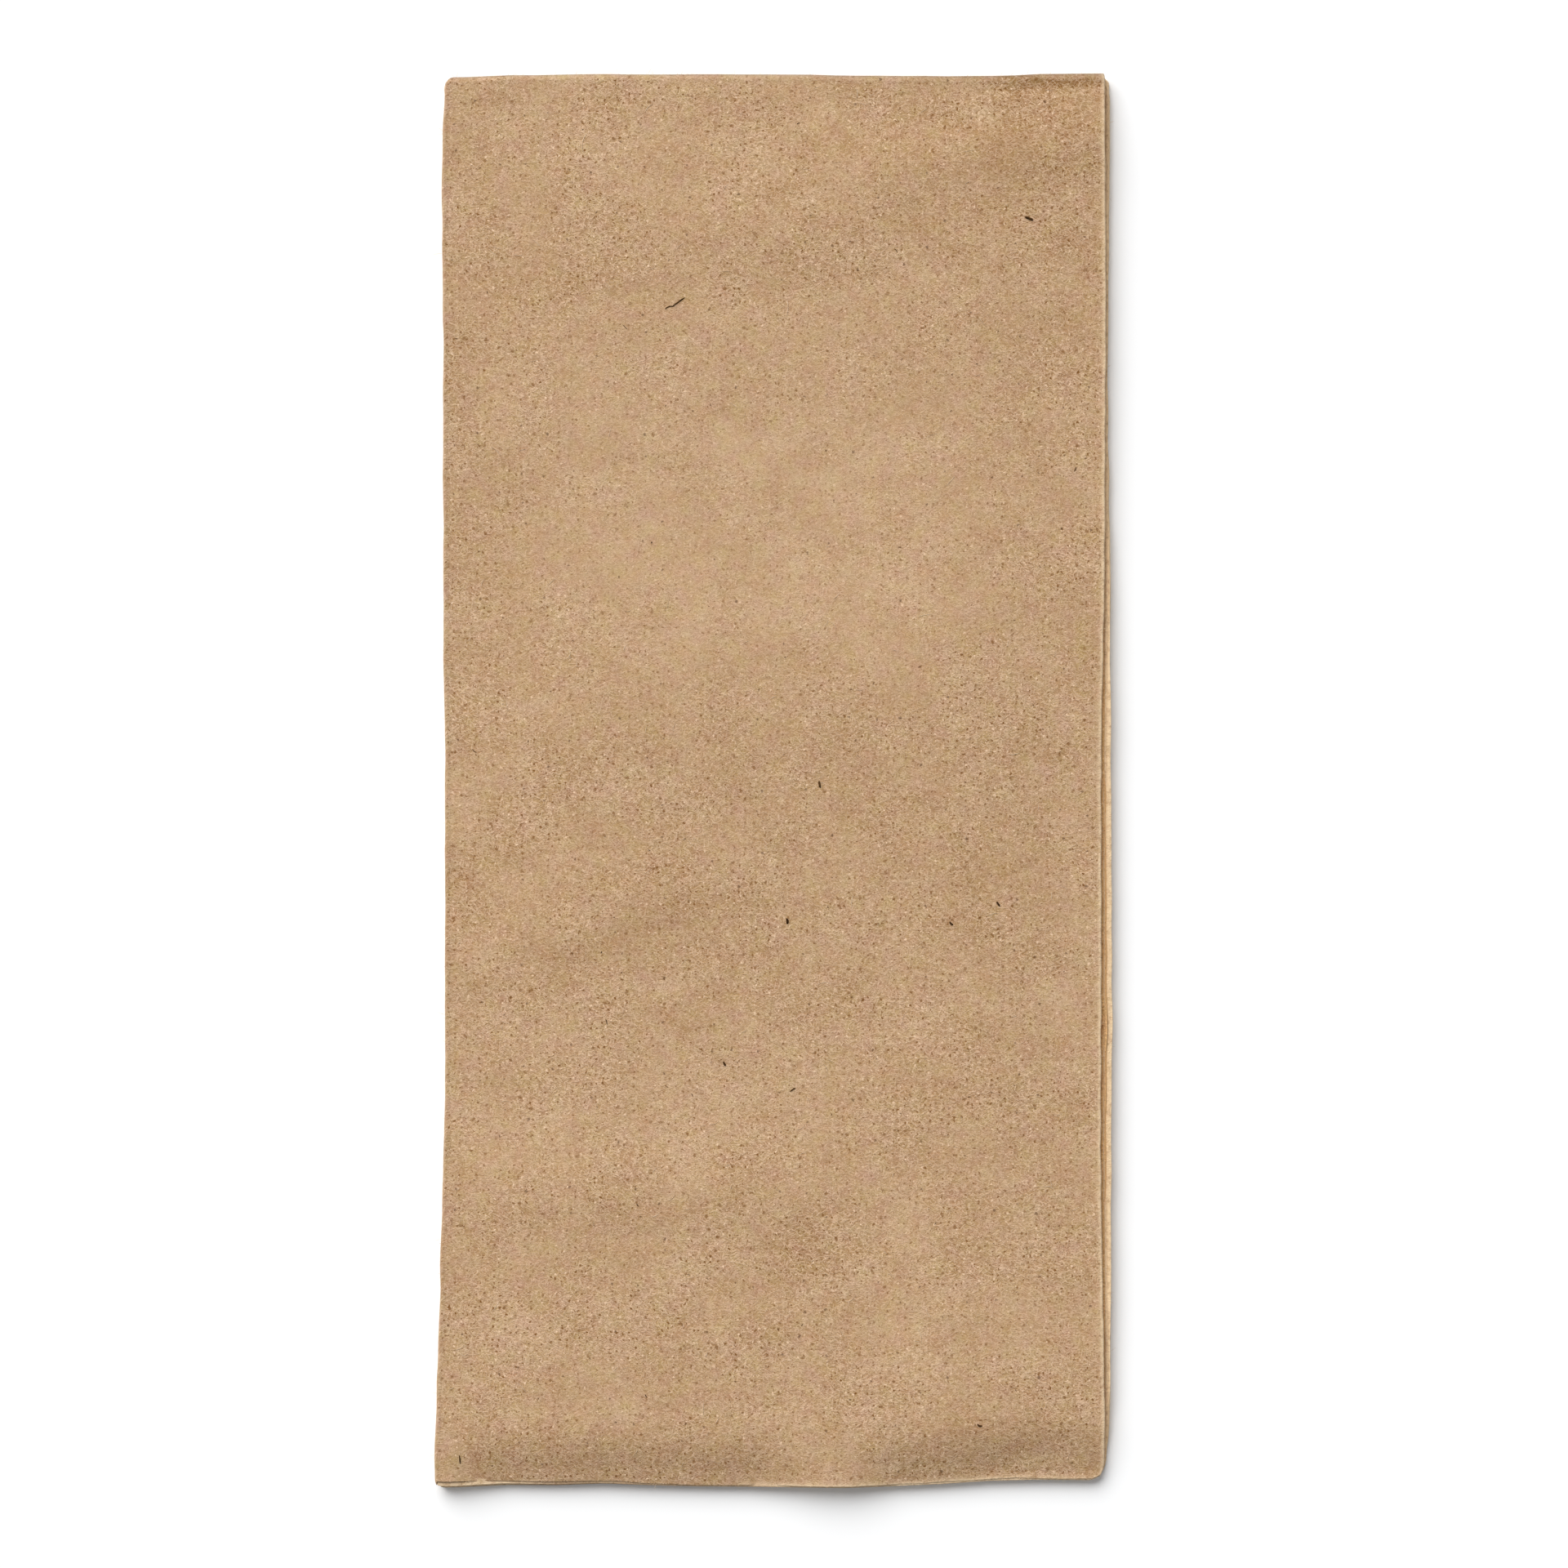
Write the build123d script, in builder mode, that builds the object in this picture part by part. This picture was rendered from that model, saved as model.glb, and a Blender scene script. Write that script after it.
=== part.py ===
"""Folded paper dinner napkin: one sheet of kraft tissue, folded to an eighth and lying flat.

The sheet is folded lengthwise in half and in half again, which gives a strip of four leaves, and
then across its middle, which gives eight. X runs across the strip, Y along it with the cross fold
at +Y, and Z up. The origin is the middle of the footprint, on the surface that the napkin lies on.
"""

import os
from math import cos, pi, radians, sin

from build123d import *

# The flat sheet, in millimetres
sheet_width = 381.0  # taken up by the two lengthwise folds
sheet_length = 406.4  # halved by the cross fold
leaf_thickness = 0.2  # two plies of tissue, bonded into one leaf
air_gap = 0.05  # between two leaves that lie on each other

# How squarely it was folded
second_fold_shift = -0.2  # how far the second fold lies past the middle of the half-sheet
half_skew = 0.18  # degrees that each half of the strip leans off square to the cross fold

# The strip's four leaves, counted up from the mid-plane where the two halves of the strip meet
leaves_in_strip = 4
pitch = leaf_thickness + air_gap
strip_run = sheet_width / 4 + second_fold_shift  # flat run between the second and first folds
tight_radius = pitch / 2  # middle of the paper, in a fold between two leaves that touch
wrap_radius = 3 * pitch / 2  # the same, in the fold that wraps a tight one
second_fold_z = 2 * pitch
first_fold_z = 3 * pitch

# The first fold is at the middle of the sheet, so half of its arc belongs to each side
half_sheet = sheet_width / 2 - pi * tight_radius / 2
first_leaf_run = half_sheet - pi * wrap_radius - strip_run
second_leaf_run = half_sheet - pi * tight_radius - strip_run


def strip_face(side):
    """Draws one face of the folded strip and returns its two cut ends. Side is its distance from
    the middle of the paper, and is positive for the face that is outermost in the second fold."""
    wrap = wrap_radius + side
    tight = tight_radius - side
    first_end = (first_leaf_run, second_fold_z - wrap)
    second_end = (second_leaf_run, second_fold_z - tight)
    Line(first_end, (0, second_fold_z - wrap))
    CenterArc((0, second_fold_z), wrap, 90, 180)
    Line((0, second_fold_z + wrap), (strip_run, second_fold_z + wrap))
    CenterArc((strip_run, first_fold_z), tight_radius + side, -90, 180)
    Line((strip_run, second_fold_z + tight), (0, second_fold_z + tight))
    CenterArc((0, second_fold_z), tight, 90, 180)
    Line((0, second_fold_z - tight), second_end)
    return first_end, second_end


# The strip's section: a single line of paper that turns back on itself three times
with BuildSketch(Plane.XZ) as strip_section:
    with BuildLine():
        outer_ends = strip_face(leaf_thickness / 2)
        inner_ends = strip_face(-leaf_thickness / 2)
        for outer_end, inner_end in zip(outer_ends, inner_ends):
            Line(outer_end, inner_end)
    make_face()

# Each half of the strip runs off from the cross fold, leaning a little to its own side. It is
# made too long, by what the lean adds at its far corner and half as much again, and then trimmed.
lean = radians(half_skew)
upper_heading = Vector(-sin(lean), -cos(lean), 0)
lower_heading = Vector(sin(lean), -cos(lean), 0)
corner_run = 1.5 * (strip_run / 2 + wrap_radius) * sin(lean)
uncut_run = sheet_length / 2 + corner_run
cross_fold_axis = Axis(origin=(0, 0, 0), direction=(-1, 0, 0))

with BuildPart() as folded_napkin:
    # The upper half, and the cross fold that all four leaves turn round together
    extrude(strip_section.sketch, amount=uncut_run, dir=upper_heading)
    revolve(strip_section.sketch, axis=cross_fold_axis, revolution_arc=180)

    # The lower half, the same four leaves upside down
    lower_section = strip_section.sketch.mirror(Plane.XY)
    extrude(lower_section, amount=uncut_run, dir=lower_heading)

    # A leaf that lies farther out spends more of its length in the cross fold and ends sooner
    for leaf in range(leaves_in_strip):
        leaf_z = (leaf + 0.5) * pitch
        leaf_run = (sheet_length - pi * leaf_z) / 2
        waste = uncut_run - leaf_run + corner_run
        for side, heading in ((1, upper_heading), (-1, lower_heading)):
            end_plane = Plane(
                origin=heading * leaf_run + Vector(strip_run / 2, 0, side * leaf_z),
                x_dir=(0, 0, 1),
                z_dir=heading,
            )
            with BuildSketch(end_plane):
                Rectangle(pitch, 2 * strip_run)
            extrude(amount=waste, mode=Mode.SUBTRACT)

# The origin goes to the middle of the footprint
footprint = folded_napkin.part.bounding_box()
folded_napkin.part.position = (
    -footprint.center().X,
    -footprint.center().Y,
    -footprint.min.Z,
)
folded_napkin.part.label = "folded_napkin"

os.makedirs("parts", exist_ok=True)
export_step(folded_napkin.part, "parts/folded_napkin.step")
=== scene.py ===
"""A dinner napkin of unbleached tissue, folded to an eighth and lying flat on a white table.

Everything is in metres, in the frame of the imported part: X runs across the folded strip, Y along it
with the cross fold at +Y, and Z up from the table.
"""

import math

import bpy
import numpy as np
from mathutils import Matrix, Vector


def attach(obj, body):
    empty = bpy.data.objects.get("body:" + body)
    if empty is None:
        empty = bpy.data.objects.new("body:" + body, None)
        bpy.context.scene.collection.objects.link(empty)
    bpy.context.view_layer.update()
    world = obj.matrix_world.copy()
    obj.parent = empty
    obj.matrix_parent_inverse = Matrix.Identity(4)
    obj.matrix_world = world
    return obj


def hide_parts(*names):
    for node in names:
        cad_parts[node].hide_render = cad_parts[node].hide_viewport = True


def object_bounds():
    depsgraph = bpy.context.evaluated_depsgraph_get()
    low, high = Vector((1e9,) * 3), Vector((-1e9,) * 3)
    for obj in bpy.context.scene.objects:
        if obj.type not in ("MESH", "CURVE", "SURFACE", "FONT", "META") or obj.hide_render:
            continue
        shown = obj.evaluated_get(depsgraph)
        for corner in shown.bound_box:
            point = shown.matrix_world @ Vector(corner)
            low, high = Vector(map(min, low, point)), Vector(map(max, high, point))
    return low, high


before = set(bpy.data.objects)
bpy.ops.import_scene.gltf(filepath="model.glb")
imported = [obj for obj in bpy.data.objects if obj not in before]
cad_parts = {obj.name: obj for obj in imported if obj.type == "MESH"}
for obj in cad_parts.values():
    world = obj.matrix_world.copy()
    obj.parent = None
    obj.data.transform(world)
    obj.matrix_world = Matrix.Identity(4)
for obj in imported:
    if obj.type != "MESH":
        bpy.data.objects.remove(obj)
frame_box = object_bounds()
mm = 0.001

# ---------------------------------------------------------------------------------------------
# The napkin. One sheet of soft two-ply tissue made from unbleached pulp, cut square at all four
# edges. A folding machine turns it lengthwise in half and in half again, then across its middle,
# and nothing but its pressed creases keeps it shut.
# ---------------------------------------------------------------------------------------------

# The flat sheet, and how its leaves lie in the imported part
sheet_width = 381.0 * mm
sheet_length = 406.4 * mm
leaf_thickness = 0.2 * mm
air_gap = 0.05 * mm
pitch = leaf_thickness + air_gap
second_fold_shift = -0.2 * mm
lean = math.radians(0.18)

# Across the strip, lengths are measured from the axis of the second fold, and heights from the
# mid-plane where the two halves of the strip meet
strip_run = sheet_width / 4 + second_fold_shift
tight_radius = pitch / 2
wrap_radius = 3 * pitch / 2
second_fold_height = 2 * pitch
first_fold_height = 3 * pitch
half_sheet = sheet_width / 2 - math.pi * tight_radius / 2
first_leaf_run = half_sheet - math.pi * wrap_radius - strip_run
second_leaf_run = half_sheet - math.pi * tight_radius - strip_run
outer_leaf_height = first_fold_height + tight_radius

# Where the strip lies in the frame
second_fold_x = (wrap_radius - tight_radius - strip_run) / 2
cross_fold_y = frame_box[1].y - outer_leaf_height - leaf_thickness / 2

# The seven stretches that a line across the sheet passes through, from one cut edge to the other
wrap_turn = math.pi * wrap_radius
tight_turn = math.pi * tight_radius
stretches = (first_leaf_run, wrap_turn, strip_run, tight_turn, strip_run, tight_turn, second_leaf_run)
stretch_ends = np.cumsum((0, *stretches))
right_fold = stretch_ends[3] + tight_turn / 2


def stations(length, zone, counts, step_between):
    """Distances along a stretch of paper, close together in a zone at each of its ends."""
    near, far = (zone * np.linspace(0, 1, count) ** 1.6 for count in counts)
    between = np.linspace(zone, length - zone, max(2, round((length - 2 * zone) / step_between)))
    return np.concatenate((near[:-1], between, length - far[-2::-1]))


def columns_across():
    """Where the mesh has columns: most on the outside leaf, and where a leaf ends at the right."""
    found = []
    for number, (length, begins) in enumerate(zip(stretches, stretch_ends)):
        counts = (11, 7) if number in (0, 4) else (7, 11)
        step = 3.2 * mm if number == 2 else 6.5 * mm
        if number % 2:
            found.append(begins + np.linspace(0, length, 11)[1:-1])
        else:
            found.append(begins + stations(length, 2.5 * mm, counts, step))
    return np.concatenate(found)


def rows_along():
    """Where the mesh has rows, measured along the sheet from the cross fold."""
    turn = 1.6 * mm
    in_turn = turn * np.linspace(0, 1, 15)[:-1] ** 1.5
    beyond = turn + stations(sheet_length / 2 - turn, 4 * mm, (9, 9), 1.85 * mm)
    half = np.concatenate((in_turn, beyond))
    return np.concatenate((-half[:0:-1], half))


def strip_path(across):
    """Where a line across the folded sheet lies: how far from the second fold, and how high."""
    into = [across - stretch_ends[i] for i in range(7)]
    wrap = into[1] / wrap_radius
    first = into[3] / tight_radius
    tight = into[5] / tight_radius
    level = np.zeros_like(across)
    inside = [across <= end for end in stretch_ends[1:]]
    place = (
        first_leaf_run - into[0],
        -wrap_radius * np.sin(wrap),
        into[2],
        strip_run + tight_radius * np.sin(first),
        strip_run - into[4],
        -tight_radius * np.sin(tight),
        into[6],
    )
    height = (
        level + tight_radius,
        second_fold_height - wrap_radius * np.cos(wrap),
        level + outer_leaf_height,
        first_fold_height + tight_radius * np.cos(first),
        level + outer_leaf_height - pitch,
        second_fold_height + tight_radius * np.cos(tight),
        level + wrap_radius,
    )
    return np.select(inside, place, second_leaf_run), np.select(inside, height, wrap_radius)


def ease(value, start, end):
    """0 before start and 1 after end, with a smooth turn between."""
    t = np.clip((value - start) / (end - start), 0, 1)
    return t * t * (3 - 2 * t)


def near(distance, width):
    """1 at no distance, and almost nothing at twice the width."""
    return np.exp(-((distance / width) ** 2))


def through(value, *knots):
    """A smooth line through given points, each a place and an offset in millimetres."""
    found = np.full(np.shape(value), knots[0][1] * mm)
    for (start, before), (end, after) in zip(knots, knots[1:]):
        found = found + (after - before) * mm * ease(value, start * mm, end * mm)
    return found


def ripple(x, y, length, seed):
    """Uneven waves of about this length, mostly between -1 and 1."""
    random = np.random.default_rng(seed)
    waves = 9
    total = 0
    for _ in range(waves):
        way = random.uniform(0, 2 * math.pi)
        size = 2 * math.pi / (length * random.uniform(0.7, 1.5))
        phase = random.uniform(0, 2 * math.pi)
        total = total + np.sin(size * (x * math.cos(way) + y * math.sin(way)) + phase)
    return total / math.sqrt(waves)


def ridge(x, down, start, end, width):
    """1 on a soft line pressed up between two points, and 0 away from it. Points and width are in
    millimetres, from the second fold and the cross fold."""
    long_way = (np.array(end) - np.array(start)) * mm
    length = np.hypot(*long_way)
    from_start = (x - start[0] * mm, down - start[1] * mm)
    along = (from_start[0] * long_way[0] + from_start[1] * long_way[1]) / length
    aside = (from_start[0] * long_way[1] - from_start[1] * long_way[0]) / length
    fade = ease(along, -0.2 * length, 0.25 * length) * (1 - ease(along, 0.75 * length, 1.2 * length))
    return fade * near(aside, width * mm)


# Soft relief that pressing and handling have left in the top face: ridges, each with how much
# looser the paper lies on it, its two ends across and down the face, and its width
soft_relief = (
    (0.50, (52, 14), (104, 7), 4.5),
    (0.30, (30, 24), (66, 20), 5.0),
    (0.62, (14, 90), (82, 86), 19.0),
    (0.30, (0, 128), (42, 113), 5.0),
    (0.45, (0, 160), (56, 160), 6.5),
    (0.30, (56, 192), (92, 190), 8.0),
    (-0.16, (76, 1.6), (112, 0.4), 1.2),
)


def looseness(x, down, upper):
    """How many times its packed thickness one half of the strip takes up. Paper springs open in
    the middle and is pinched at the folds and at the open end."""
    usual, least = 1.45, 0.84
    from_end = sheet_length / 2 - down
    middle = ease(x, -1 * mm, 22 * mm) * (1 - ease(x, strip_run - 22 * mm, strip_run + mm))
    away = ease(down, 0, 22 * mm) * (0.7 + 0.3 * ease(from_end, 0, 30 * mm))
    at_right = ease(x, strip_run - 24 * mm, strip_run - 3 * mm) * ease(down, 0, 22 * mm)
    puffed = -0.55 if upper else 0.66 - 0.26 * ease(down, 70 * mm, 120 * mm)
    found = usual + 0.3 * middle * away + at_right * puffed
    found = found + 0.06 * ripple(x, down, 70 * mm, seed=3 + upper)
    found = found + 0.02 * ripple(x, down, 24 * mm, seed=11 + upper)
    if upper:
        for amount, start, end, width in soft_relief:
            found = found + amount * ridge(x, down, start, end, width)
        found = found + 0.012 * ripple(x, down, 9 * mm, seed=23)
    # The open end is crushed flat in two places, over its last 8 mm and with a soft start
    crushed = 0.88 * ease(x, 0, 9 * mm) * (1 - ease(x, 46 * mm, 55 * mm))
    crushed = crushed + ease(x, 57 * mm, 68 * mm) + 0.35 * ease(x, 74 * mm, 84 * mm)
    depth = np.clip(8 * mm - from_end, 0, None)
    depth = np.sqrt(depth**2 + (2 * mm) ** 2) - 2 * mm
    return np.maximum(found - crushed * depth / (7.2 * mm), least)


# How far each side of each half lies off the squarely folded strip, as places down from the cross
# fold with an offset to the right, all in millimetres
upper_left = (
    (0, 0.3), (11, -0.12), (45, 0.2), (85, 0.36), (97, 0.62),
    (145, 0.78), (158, 0.54), (169, 0.17), (204, -0.6),
)
upper_right = ((0, -0.15), (40, 0.1), (65, 0.05), (100, -0.35), (150, -0.25), (204, 0.5))
lower_left = ((0, 0), (4, 0.3), (150, 0.1), (204, -1.3))
lower_right = (
    (0, -0.15), (1, 0.6), (12, 0.5), (25, 0.36), (33, 0.36), (40, 0.2), (58, 0.24), (72, 0.42),
    (80, 0.34), (95, 0.46), (128, 0.49), (137, 0.58), (145, 0.36), (165, 0.28), (190, 0.06), (204, -0.47),
)

# The same for the two short ends, as places across the strip with an offset towards the cross fold
folded_end = (
    (0, -0.22), (10, 0.06), (20, 0.22), (30, 0.2), (50, 0.17),
    (60, -0.02), (72, -0.08), (79, -0.04), (88, 0.25), (96, 0.33),
)
open_end = (
    (2, 0.17), (8, 0.43), (15, 0.36), (25, 0.64), (31, 0.32), (38, 0.15), (48, 0.18),
    (50, 0.18), (58, 0.16), (68, 0.38), (75, 0.83), (83, 1.34), (88, 1.18), (96, 1.26),
)


def edge_drift(x, down, upper):
    """How far a point of one half is pushed sideways off the squarely folded strip."""
    u = np.clip(x / strip_run, 0, 1)
    left = through(down, *(upper_left if upper else lower_left))
    right = through(down, *(upper_right if upper else lower_right))
    uneven = 0.05 * mm * ease(down, 0, 6 * mm)
    left = left + uneven * ripple(down, down, 9 * mm, seed=41 + upper)
    right = right + uneven * ripple(down, down, 9 * mm, seed=47 + upper)
    return left * (1 - u) + right * u


def end_drift(x, down):
    """How far a point is pushed along the strip, so that neither short end is quite straight."""
    top = through(x, *folded_end) * np.exp(-down / (30 * mm))
    top = top + 0.03 * mm * ripple(x, x, 9 * mm, seed=53) * np.exp(-down / (5 * mm))
    return top + through(x, *open_end) * ease(down, 120 * mm, 203 * mm)


def on_outer_two(height):
    """0 on the two inner leaves of the strip, and 1 on the two outer ones."""
    return ease(height, wrap_radius, 0.6 * mm)


def on_outermost(height):
    """1 on the outermost leaf of the strip, and 0 on the other three."""
    return ease(height, outer_leaf_height - pitch, outer_leaf_height)


def caught_up(x, height):
    """How much of the length that its turn took has a leaf made up at the open end. The inner
    leaves end nearly together, and the outer one a little short of them."""
    outer = through(x, (2, 500), (8, 680), (14, 690), (34, 850), (60, 850), (72, 790), (84, 850))
    inner = 0.97 + 0.04 * ripple(x, height * 60, 30 * mm, seed=61)
    return inner + (outer - inner) * on_outermost(height)


def swollen(x, down):
    """How much looser the lower half's right fold is, where the upper half doesn't lie on it."""
    shift = edge_drift(x, down, False) - edge_drift(x, down, True) + 2 * math.sin(lean) * down
    past = x + shift - strip_run
    return 0.7 * ease(past, 0.3 * mm, 0.75 * mm) * ease(down, 0, 2.5 * mm)


def taken_in(across, along):
    """The lower half's right fold bellies out, so it takes in paper from the leaves beside it."""
    aside = across - right_fold
    in_belly = (1 + (np.abs(aside) / (0.95 * mm)) ** 4) ** -0.25
    taken = 0.8 * aside * in_belly * np.exp(-np.abs(aside) / (15 * mm))
    return across - taken * ease(-along, 0, 8 * mm)


# The worn corners of the folded outline: their places in the frame and radii, in millimetres
worn_corners = (
    ((-47.9, 101.6), 1.7),
    ((48.4, 101.9), 0.9),
    ((48.2, -100.9), 2.9),
    ((-49.15, -102.05), 1.5),
)


def worn_corner(x, y, corner, radius):
    """Rounds one corner of the folded outline, by moving what lies in its square into a disc."""
    to_x, to_y = np.sign(corner)
    radius = radius * mm
    a = np.clip((x - corner[0] * mm) * to_x / radius + 1, 0, None)
    b = np.clip((y - corner[1] * mm) * to_y / radius + 1, 0, None)
    new_a = a * np.sqrt(np.clip(1 - b * b / 2, 0.1, 1)) - 1
    new_b = b * np.sqrt(np.clip(1 - a * a / 2, 0.1, 1)) - 1
    inside = (a > 0) & (b > 0)
    new_x = np.where(inside, corner[0] * mm + new_a * radius * to_x, x)
    new_y = np.where(inside, corner[1] * mm + new_b * radius * to_y, y)
    return new_x, new_y


def over_table(x, down, height, turn, upper):
    """Where a point lies, seen from above: each half leans to its own side and is pushed about."""
    side = np.where(upper, -1, 1)
    below_crease = down + height * (1 - np.cos(turn))
    drift = np.where(upper, edge_drift(x, down, True), edge_drift(x, below_crease, False))
    # The two inner leaves of the lower half stand out over its right fold
    stands_out = 0.4 * mm * ease(x, 0.5 * strip_run, strip_run) * (1 - on_outer_two(height))
    drift = drift + np.where(upper, 0, stands_out * ease(down, 0, 3 * mm))
    frame_x = second_fold_x + x + side * math.sin(lean) * down + drift
    frame_y = cross_fold_y + height * np.cos(turn) - math.cos(lean) * down + end_drift(x, down)
    for corner, radius in worn_corners:
        frame_x, frame_y = worn_corner(frame_x, frame_y, corner, radius)
    return frame_x, frame_y


def off_the_table(x, down, height, turn, upper):
    """How high a point lies: the lower half is flat on the table, and the upper half on the lower."""
    below = looseness(x, down, False) + np.where(upper, 0, swollen(x, down))
    in_lower = below * height
    # Near the lower half's right fold, all of the slack is in the loop of the fold itself
    in_loop = (below - 1) * outer_leaf_height * on_outermost(height)
    at_loop = ease(x, strip_run - 12 * mm, strip_run - 2 * mm)
    in_lower = in_lower + (height + in_loop - in_lower) * at_loop
    # The outer leaf is pinched down on the next one along its cut end
    pinch = 0.12 * mm * on_outermost(height)
    pinch = pinch * ease(down, sheet_length / 2 - 6 * mm, sheet_length / 2 - 2 * mm)
    spread_out = np.where(upper, height * looseness(x, down, True) - pinch, in_lower)
    wander = 0.02 * mm * np.sin(np.pi * height / outer_leaf_height) * ripple(x, down, 17 * mm, seed=31)
    air_below = 0.02 * mm * (1 + ripple(x, down, 40 * mm, seed=37)).clip(0.5)
    middle = below * outer_leaf_height + leaf_thickness / 2 + air_below
    return middle + np.sin(turn) * (spread_out + wander)


def folded_surface(across, along):
    """The middle of the folded paper, from where its points were on the flat sheet."""
    across, along = np.broadcast_arrays(across, along)
    x, height = strip_path(taken_in(across, along))
    from_fold = along + (x - strip_run / 2) * math.tan(lean)
    upper = from_fold > 0
    lag = math.pi * height / 2
    turn = np.clip(from_fold / height, -math.pi / 2, math.pi / 2)
    down = np.clip(np.abs(from_fold) - lag, 0, None)
    down = down * (1 + caught_up(x, height) * lag / (sheet_length / 2))
    # The belly of the lower half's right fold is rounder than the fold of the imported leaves
    drawn_in = tight_radius * ease(x, strip_run - 12 * mm, strip_run) * on_outer_two(height)
    x = x + 3 * ease(-along, 0, 8 * mm) * (np.clip(x - strip_run, 0, None) - drawn_in)
    place_over_table = over_table(x, down, height, turn, upper)
    return np.stack((*place_over_table, off_the_table(x, down, height, turn, upper)), axis=-1)


def outward(across, along):
    """The way that the paper's outer face looks at given points of the flat sheet."""
    gap = 0.03 * mm
    length_way = folded_surface(across, along + gap) - folded_surface(across, along - gap)
    cross_way = folded_surface(across + gap, along) - folded_surface(across - gap, along)
    found = np.cross(length_way, cross_way)
    return found / np.maximum(np.linalg.norm(found, axis=-1, keepdims=True), 1e-15)


across = columns_across()
along = rows_along()
middle_surface = folded_surface(across[None, :], along[:, None])
to_face = outward(across[None, :], along[:, None]) * leaf_thickness / 2
outer_face = middle_surface + to_face
inner_face = middle_surface - to_face
outer_face[..., 2] = np.maximum(outer_face[..., 2], 0.005 * mm)

row_count, column_count = len(along), len(across)
face_points = row_count * column_count
spot = np.arange(face_points).reshape(row_count, column_count)
quads = np.stack((spot[:-1, :-1], spot[1:, :-1], spot[1:, 1:], spot[:-1, 1:]), axis=2).reshape(-1, 4)


def cut_faces(rim):
    """The narrow faces of one cut edge, from the line of the outer face's points along it."""
    return np.stack((rim[:-1], rim[1:], rim[1:] + face_points, rim[:-1] + face_points), axis=1)


cut_edges = [cut_faces(rim) for rim in (spot[0, :], spot[:, -1], spot[-1, ::-1], spot[::-1, 0])]
napkin_mesh = bpy.data.meshes.new("napkin_sheet")
napkin_mesh.from_pydata(
    np.concatenate((outer_face.reshape(-1, 3), inner_face.reshape(-1, 3))).tolist(),
    [],
    np.concatenate((quads, quads[:, ::-1] + face_points, *cut_edges)).tolist(),
)
smooth = np.ones(len(napkin_mesh.polygons), dtype=bool)
smooth[2 * len(quads):] = False
napkin_mesh.polygons.foreach_set("use_smooth", smooth)

# Two maps of the sheet. The first gives each point its place on the flat sheet in metres, with
# the inner face beside the outer one so that its fibres are its own.
corner_vertex = np.empty(len(napkin_mesh.loops), dtype=np.int32)
napkin_mesh.loops.foreach_get("vertex_index", corner_vertex)
flat_places = np.stack(np.meshgrid(across, along + sheet_length / 2), axis=2).reshape(-1, 2)
beside = np.array((1.3 * sheet_width, 0))
flat_map = napkin_mesh.uv_layers.new(name="flat_sheet")
flat_places = np.concatenate((flat_places, flat_places + beside)).astype(np.float32)
flat_map.uv.foreach_set("vector", flat_places[corner_vertex].ravel())

# The second packs the faces into a square for painting, and gives most of it to the face that
# lies on top. Faces out of sight share what is left, by their rows and columns. A box is a part
# of the square, by its lower left and its upper right corner, and the cut edges are four narrow
# strips above one another.
top_box = ((0.004, 0.004), (0.476, 0.996))
beneath_box = ((0.484, 0.004), (0.784, 0.620))
inner_box = ((0.792, 0.004), (0.996, 0.620))
hidden_box = ((0.484, 0.660), (0.996, 0.996))
rim_left, rim_length = 0.484, 0.512
rim_bottom, rim_height, rim_step = 0.626, 0.004, 0.008

outer_leaf = (stretch_ends[1] + wrap_turn / 2, stretch_ends[3] + tight_turn / 2)
lowest_row = int(np.searchsorted(along, -1.2 * mm))
leaf_columns = np.flatnonzero((across >= outer_leaf[0]) & (across <= outer_leaf[1]))
first_column, last_column = leaf_columns[0], leaf_columns[-1]
quad_rows = np.repeat(np.arange(row_count - 1), column_count - 1)
quad_columns = np.tile(np.arange(column_count - 1), row_count - 1)
row_of = np.repeat(np.arange(row_count), column_count)
column_of = np.tile(np.arange(column_count), row_count)
by_count = np.stack((column_of, row_of), axis=1).astype(float)
by_length = flat_places[:face_points]


def packed_corners(faces, inside, box):
    """Where the corners of some faces go: from an area inside which they lie, to a box."""
    low, high = inside
    (left, bottom), (right, top) = box
    share = (faces - low) / (np.array(high) - low)
    return np.array((left, bottom)) + share * (np.array((right, top)) - (left, bottom))


def leaf_area(first_row, last_row):
    """The area of the outer leaf between two rows, by its lowest and its highest corner."""
    lowest = by_length[first_column + first_row * column_count]
    return lowest, by_length[last_column + last_row * column_count]


on_leaf = (quad_columns >= first_column) & (quad_columns < last_column)
on_top = on_leaf & (quad_rows >= lowest_row)
beneath = on_leaf & (quad_rows < lowest_row)
square = np.zeros((len(quads), 4, 2))
square[on_top] = packed_corners(by_length[quads[on_top]], leaf_area(lowest_row, row_count - 1), top_box)
square[beneath] = packed_corners(by_length[quads[beneath]], leaf_area(0, lowest_row), beneath_box)

# The hidden leaves lie on their side, with the outer leaf's columns cut out but for a small gap
cut_out = last_column - first_column - 3
closed_up = np.where(column_of >= last_column, column_of - cut_out, column_of)
on_side = np.stack((row_of, closed_up), axis=1).astype(float)
hidden_area = ((0, 0), (row_count - 1, column_count - cut_out))
square[~on_leaf] = packed_corners(on_side[quads[~on_leaf]], hidden_area, hidden_box)
inner_area = ((0, 0), (column_count - 1, row_count - 1))
inner_square = packed_corners(by_count[quads[:, ::-1]], inner_area, inner_box)

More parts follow.
